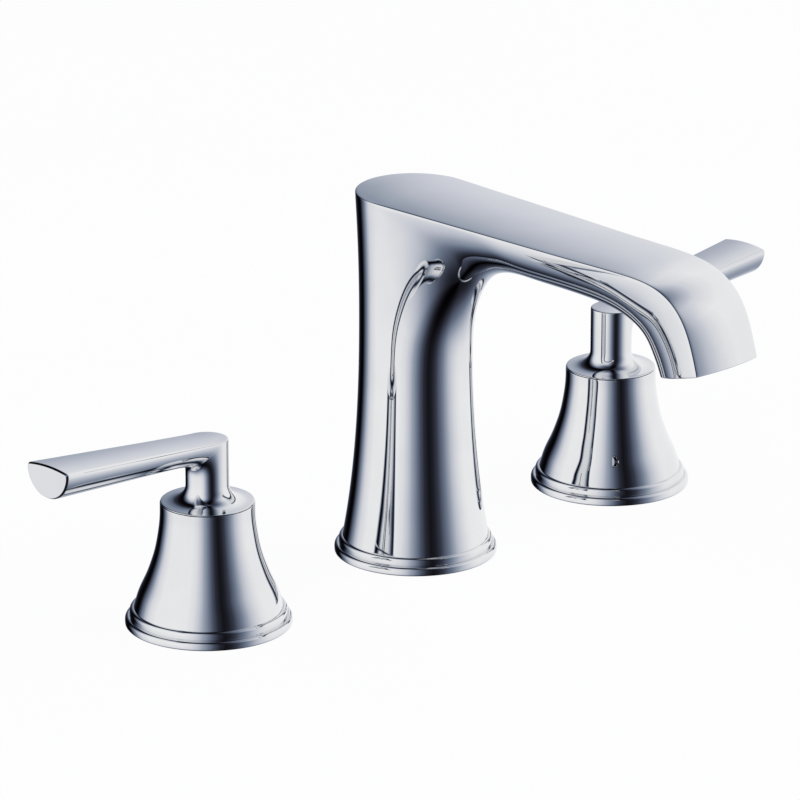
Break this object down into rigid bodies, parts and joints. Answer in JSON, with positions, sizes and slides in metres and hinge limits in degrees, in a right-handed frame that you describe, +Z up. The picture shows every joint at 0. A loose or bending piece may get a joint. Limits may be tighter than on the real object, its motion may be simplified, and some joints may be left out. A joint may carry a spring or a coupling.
{
  "type": "widespread bathroom faucet",
  "caption": "Chrome widespread basin faucet: a tall spout that arches forward from a flared column, with a quarter-turn lever valve on a bell-shaped base at each side.",
  "frame": {"origin": "on the spout column's axis, at the level of the deck top, where the spout's ring stands", "axes": "+Z up along the column; X along the row of three units, left valve at -X; the spout's arm runs along -Y, towards the user"},
  "size_m": [0.3502, 0.1741, 0.2346],
  "materials": {
    "chrome": "polished chrome plate",
    "brass": "plain machined brass",
    "copper": "drawn copper tube",
    "steel": "stainless steel",
    "rubber": "black sealing rubber",
    "ceramic": "lapped ceramic",
    "plastic": "moulded acetal"
  },
  "bodies": {
    "spout_and_valves": {"spout_body": "chrome", "waterway_tube": "copper", "aerator_housing": "chrome", "aerator_screen": "steel", "aerator_core": "plastic", "aerator_washer": "rubber", "spout_adapter": "brass", "spout_adapter_screws": "steel", "spout_shank": "brass", "spout_tee": "brass", "spout_base_ring": "chrome", "spout_gasket": "rubber", "spout_rubber_washer": "rubber", "spout_steel_washer": "steel", "spout_lock_nut": "brass", "left_fixed_disc": "ceramic", "left_cartridge_seal": "rubber", "left_cartridge_housing": "brass", "left_bell": "chrome", "left_bell_nut": "brass", "left_base_ring": "chrome", "left_gasket": "rubber", "left_valve_body": "brass", "left_upper_lock_nut": "brass", "left_rubber_washer": "rubber", "left_steel_washer": "steel", "left_lower_lock_nut": "brass", "right_fixed_disc": "ceramic", "right_cartridge_seal": "rubber", "right_cartridge_housing": "brass", "right_bell": "chrome", "right_bell_nut": "brass", "right_base_ring": "chrome", "right_gasket": "rubber", "right_valve_body": "brass", "right_upper_lock_nut": "brass", "right_rubber_washer": "rubber", "right_steel_washer": "steel", "right_lower_lock_nut": "brass"},
    "left_lever": {"left_handle": "chrome", "left_set_screw": "steel", "left_stem_adapter": "plastic", "left_stem": "brass", "left_stem_clip": "steel", "left_stem_o_rings": "rubber", "left_turning_disc": "ceramic"},
    "right_lever": {"right_handle": "chrome", "right_set_screw": "steel", "right_stem_adapter": "plastic", "right_stem": "brass", "right_stem_clip": "steel", "right_stem_o_rings": "rubber", "right_turning_disc": "ceramic"}
  },
  "joints": [
    {"name": "left_valve_turn", "type": "hinge", "parent": "spout_and_valves", "child": "left_lever", "pos_m": [-0.1016, 0, 0.05], "axis": [0, 0, 1], "range_deg": [0, 90]},
    {"name": "right_valve_turn", "type": "hinge", "parent": "spout_and_valves", "child": "right_lever", "pos_m": [0.1016, 0, 0.05], "axis": [0, 0, 1], "range_deg": [-90, 0]}
  ]
}
